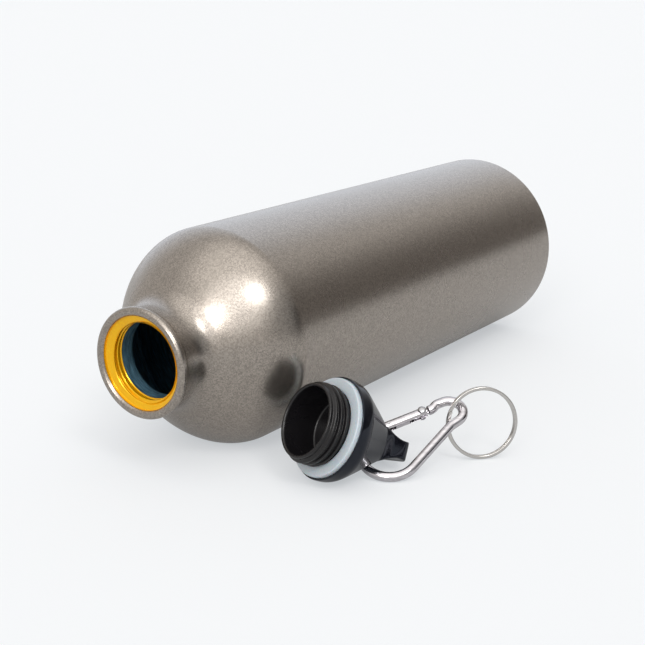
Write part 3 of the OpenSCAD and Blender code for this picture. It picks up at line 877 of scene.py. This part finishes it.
def coiled_wire_tree():
    """Geometry tree for a wire coiled about Z, with a rounded section and an optional step between turns."""
    tree = bpy.data.node_groups.new("coiled_wire", "GeometryNodeTree")
    group_socket(tree, "Turns", "INPUT", "NodeSocketFloat", 2.0)
    group_socket(tree, "Coil Radius", "INPUT", "NodeSocketFloat", 10.0)
    group_socket(tree, "Rise", "INPUT", "NodeSocketFloat", 0.0)
    group_socket(tree, "Step", "INPUT", "NodeSocketFloat", 0.0)
    group_socket(tree, "Section Width", "INPUT", "NodeSocketFloat", 1.0)
    group_socket(tree, "Section Height", "INPUT", "NodeSocketFloat", 1.0)
    group_socket(tree, "Section Corner", "INPUT", "NodeSocketFloat", 0.2)
    group_socket(tree, "Points Per Turn", "INPUT", "NodeSocketInt", 64)
    group_socket(tree, "Finish", "INPUT", "NodeSocketMaterial")
    group_socket(tree, "Geometry", "OUTPUT", "NodeSocketGeometry")
    nodes, links = tree.nodes, tree.links
    given = nodes.new("NodeGroupInput")
    result = nodes.new("NodeGroupOutput")
    spiral = nodes.new("GeometryNodeCurveSpiral")
    links.new(given.outputs["Points Per Turn"], spiral.inputs["Resolution"])
    links.new(given.outputs["Turns"], spiral.inputs["Rotations"])
    links.new(given.outputs["Coil Radius"], spiral.inputs["Start Radius"])
    links.new(given.outputs["Coil Radius"], spiral.inputs["End Radius"])
    links.new(given.outputs["Rise"], spiral.inputs["Height"])
    along = nodes.new("GeometryNodeSplineParameter")
    share = nodes.new("ShaderNodeMapRange")
    share.interpolation_type = "SMOOTHSTEP"
    for end, middle, height in (("Min", 0.46, -0.5), ("Max", 0.54, 0.5)):
        share.inputs["From " + end].default_value = middle
        share.inputs["To " + end].default_value = height
    links.new(along.outputs["Factor"], share.inputs["Value"])
    lift = nodes.new("ShaderNodeMath")
    lift.operation = "MULTIPLY"
    links.new(share.outputs["Result"], lift.inputs[0])
    links.new(given.outputs["Step"], lift.inputs[1])
    offset = nodes.new("ShaderNodeCombineXYZ")
    links.new(lift.outputs[0], offset.inputs["Z"])
    moved = nodes.new("GeometryNodeSetPosition")
    links.new(spiral.outputs["Curve"], moved.inputs["Geometry"])
    links.new(offset.outputs[0], moved.inputs["Offset"])
    upright = nodes.new("GeometryNodeSetCurveNormal")
    upright.mode = "Z_UP"
    links.new(moved.outputs["Geometry"], upright.inputs["Curve"])
    section = nodes.new("GeometryNodeCurvePrimitiveQuadrilateral")
    links.new(given.outputs["Section Width"], section.inputs["Width"])
    links.new(given.outputs["Section Height"], section.inputs["Height"])
    rounded = nodes.new("GeometryNodeFilletCurve")
    rounded.mode = "POLY"
    rounded.inputs["Count"].default_value = 4
    links.new(section.outputs["Curve"], rounded.inputs["Curve"])
    links.new(given.outputs["Section Corner"], rounded.inputs["Radius"])
    wire = nodes.new("GeometryNodeCurveToMesh")
    wire.inputs["Fill Caps"].default_value = True
    links.new(upright.outputs["Curve"], wire.inputs["Curve"])
    links.new(rounded.outputs["Curve"], wire.inputs["Profile Curve"])
    solid = nodes.new("GeometryNodeRealizeInstances")
    links.new(wire.outputs["Mesh"], solid.inputs["Geometry"])
    finish = nodes.new("GeometryNodeSetMaterial")
    links.new(solid.outputs["Geometry"], finish.inputs["Geometry"])
    links.new(given.outputs["Finish"], finish.inputs["Material"])
    links.new(finish.outputs["Geometry"], result.inputs["Geometry"])
    return tree


def coiled_piece(name, tree, finish, **values):
    """Plain mesh of a coiled wire, still about its own Z axis in millimetres."""
    piece = object_from(name, bmesh.new())
    modifier = piece.modifiers.new("coil", "NODES")
    modifier.node_group = tree
    wanted = {key.replace("_", " "): value for key, value in values.items()}
    wanted["Finish"] = MATERIALS[finish]
    for item in tree.interface.items_tree:
        if item.item_type == "SOCKET" and item.in_out == "INPUT" and item.name in wanted:
            modifier[item.identifier] = wanted[item.name]
    settle_modifiers(piece)
    piece.data.set_sharp_from_angle(angle=math.radians(50))
    return piece


def make_coils():
    tree = coiled_wire_tree()
    ring = coiled_piece(
        "key_split_ring", tree, "nickel", Turns=RING_TURNS, Coil_Radius=RING_RADIUS - RING_BAND / 2,
        Step=RING_TURN + RING_GAP, Section_Width=RING_BAND, Section_Height=RING_TURN,
        Section_Corner=RING_CORNER, Points_Per_Turn=120,
    )
    place_piece(ring, RING_PLACE @ turn("Z", RING_START), "key_ring", "nickel", ["nickel"], "split_ring")
    spring = coiled_piece(
        "gate_coil_spring", tree, "plain_steel", Turns=float(SPRING_COILS), Coil_Radius=SPRING_RADIUS,
        Rise=SPRING_END - SPRING_START, Section_Width=2 * SPRING_WIRE, Section_Height=2 * SPRING_WIRE,
        Section_Corner=0.98 * SPRING_WIRE, Points_Per_Turn=32,
    )
    along_gate = GATE_PLACE @ Matrix.Translation((SPRING_START, 0, 0)) @ turn("Y", 90)
    place_piece(spring, along_gate, "gate", "plain_steel", ["plain_steel"], "gate_spring")


def finish_small_parts():
    """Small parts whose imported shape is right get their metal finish."""
    for node in ("gate_catch_pin", "gate_plunger"):
        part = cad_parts[node]
        part.data.materials.clear()
        part.data.materials.append(MATERIALS["plain_steel"])


# ---------- Floor, lights and camera ----------

# The glow is weaker where the floor is seen in a reflection than where the camera sees it.
FLOOR_TINT = (0.4, 0.4, 0.4)
FLOOR_GLOW = (0.46, 0.48, 0.5)
FLOOR_GLOW_REFLECTED = 0.35
BACKDROP = (0.863, 0.879, 0.896)
ROOM = (0.62, 0.6, 0.58)
# Soft lights and dark cards round the room: heading and height in degrees, half widths in degrees of the
# full and the fading part, and the light added. A heading of 0 looks along +X and 90 along +Y.
ROOM_LIGHTS = [
    ("dark_card", -42, 2, 12, 46, (-0.5, -0.495, -0.485)),
    ("far_window", 40, 16, 14, 46, (0.34, 0.42, 0.54)),
    ("ceiling", -150, 72, 12, 50, (0.75, 0.74, 0.72)),
    ("key_left", -164, 27, 4, 13, (8.0, 7.8, 7.6)),
    ("key_right", -117, 47, 3, 11, (8.0, 8.0, 8.0)),
    ("key_wash", -142, 38, 12, 34, (1.1, 1.1, 1.1)),
    ("side_card", -85, 20, 10, 36, (-0.3, -0.28, -0.26)),
]

CAMERA_PLACE = (-0.2703, -0.2499, 0.1144)
CAMERA_RIGHT = (0.5586, -0.8295, 0)
CAMERA_FORWARD = (0.7992, 0.5382, -0.2678)
CAMERA_LENS = 69.77
FILM_WIDTH = 36


def make_floor():
    """Wide pale floor that glows a little, so that it stays even out to the horizon."""
    half = 30
    floor = bmesh.new()
    corners = [(-half, -half), (half, -half), (half, half), (-half, half)]
    floor.faces.new([floor.verts.new((x, y, -BODY_RADIUS * MM)) for x, y in corners])
    piece = object_from("studio_floor", floor)
    material = bpy.data.materials.new("studio_floor")
    material.use_nodes = True
    surface = material.node_tree.nodes["Principled BSDF"]
    surface.inputs["Base Color"].default_value = (*FLOOR_TINT, 1)
    surface.inputs["Roughness"].default_value = 1
    surface.inputs["Specular IOR Level"].default_value = 0
    surface.inputs["Emission Color"].default_value = (*FLOOR_GLOW, 1)
    seen = material.node_tree.nodes.new("ShaderNodeLightPath")
    strength = map_value(material.node_tree, seen.outputs["Is Camera Ray"], FLOOR_GLOW_REFLECTED, 1)
    material.node_tree.links.new(strength, surface.inputs["Emission Strength"])
    piece.data.materials.append(material)


def room_light(tree, direction, name, heading, height, full, fade, light):
    """Light of one lamp or card for a direction, as a colour socket."""
    aim = (cosd(height) * cosd(heading), cosd(height) * sind(heading), sind(height))
    along = tree.nodes.new("ShaderNodeVectorMath")
    along.operation = "DOT_PRODUCT"
    along.label = name
    along.inputs[1].default_value = aim
    tree.links.new(direction, along.inputs[0])
    share = tree.nodes.new("ShaderNodeMapRange")
    share.interpolation_type = "SMOOTHSTEP"
    share.inputs["From Min"].default_value = cosd(fade)
    share.inputs["From Max"].default_value = cosd(full)
    tree.links.new(along.outputs["Value"], share.inputs["Value"])
    scaled = tree.nodes.new("ShaderNodeVectorMath")
    scaled.operation = "SCALE"
    scaled.inputs[0].default_value = light
    tree.links.new(share.outputs["Result"], scaled.inputs["Scale"])
    return scaled.outputs["Vector"]


def make_world():
    """Room that lights the object with soft lamps and cards, and that the camera sees as a plain backdrop."""
    world = bpy.data.worlds.new("studio_room")
    bpy.context.scene.world = world
    world.use_nodes = True
    tree = world.node_tree
    background = tree.nodes["Background"]
    direction = tree.nodes.new("ShaderNodeTexCoord").outputs["Generated"]
    total = tree.nodes.new("ShaderNodeVectorMath")
    total.operation = "ADD"
    total.inputs[0].default_value = ROOM
    for number, lamp in enumerate(ROOM_LIGHTS):
        if number:
            following = tree.nodes.new("ShaderNodeVectorMath")
            following.operation = "ADD"
            tree.links.new(total.outputs["Vector"], following.inputs[0])
            total = following
        tree.links.new(room_light(tree, direction, *lamp), total.inputs[1])
    seen = tree.nodes.new("ShaderNodeLightPath")
    choice = tree.nodes.new("ShaderNodeMix")
    choice.data_type = "RGBA"
    tree.links.new(seen.outputs["Is Camera Ray"], choice.inputs["Factor"])
    tree.links.new(total.outputs["Vector"], choice.inputs["A"])
    choice.inputs["B"].default_value = (*BACKDROP, 1)
    tree.links.new(choice.outputs["Result"], background.inputs["Color"])


def make_camera():
    camera_data = bpy.data.cameras.new("camera")
    camera_data.lens = CAMERA_LENS
    camera_data.sensor_width = FILM_WIDTH
    camera_data.clip_start = 0.01
    camera = bpy.data.objects.new("camera", camera_data)
    right = Vector(CAMERA_RIGHT).normalized()
    forward = Vector(CAMERA_FORWARD).normalized()
    up = right.cross(forward).normalized()
    axes = Matrix((right, up, -forward)).transposed().to_4x4()
    camera.matrix_world = Matrix.Translation(CAMERA_PLACE) @ axes
    bpy.context.scene.collection.objects.link(camera)
    bpy.context.scene.camera = camera


make_bottle()
make_cap_cover()
make_cap_plug()
make_gasket()
make_carabiner()
make_rivet()
make_coils()
finish_small_parts()
make_floor()
make_world()
make_camera()
bpy.context.scene.view_settings.view_transform = "Standard"
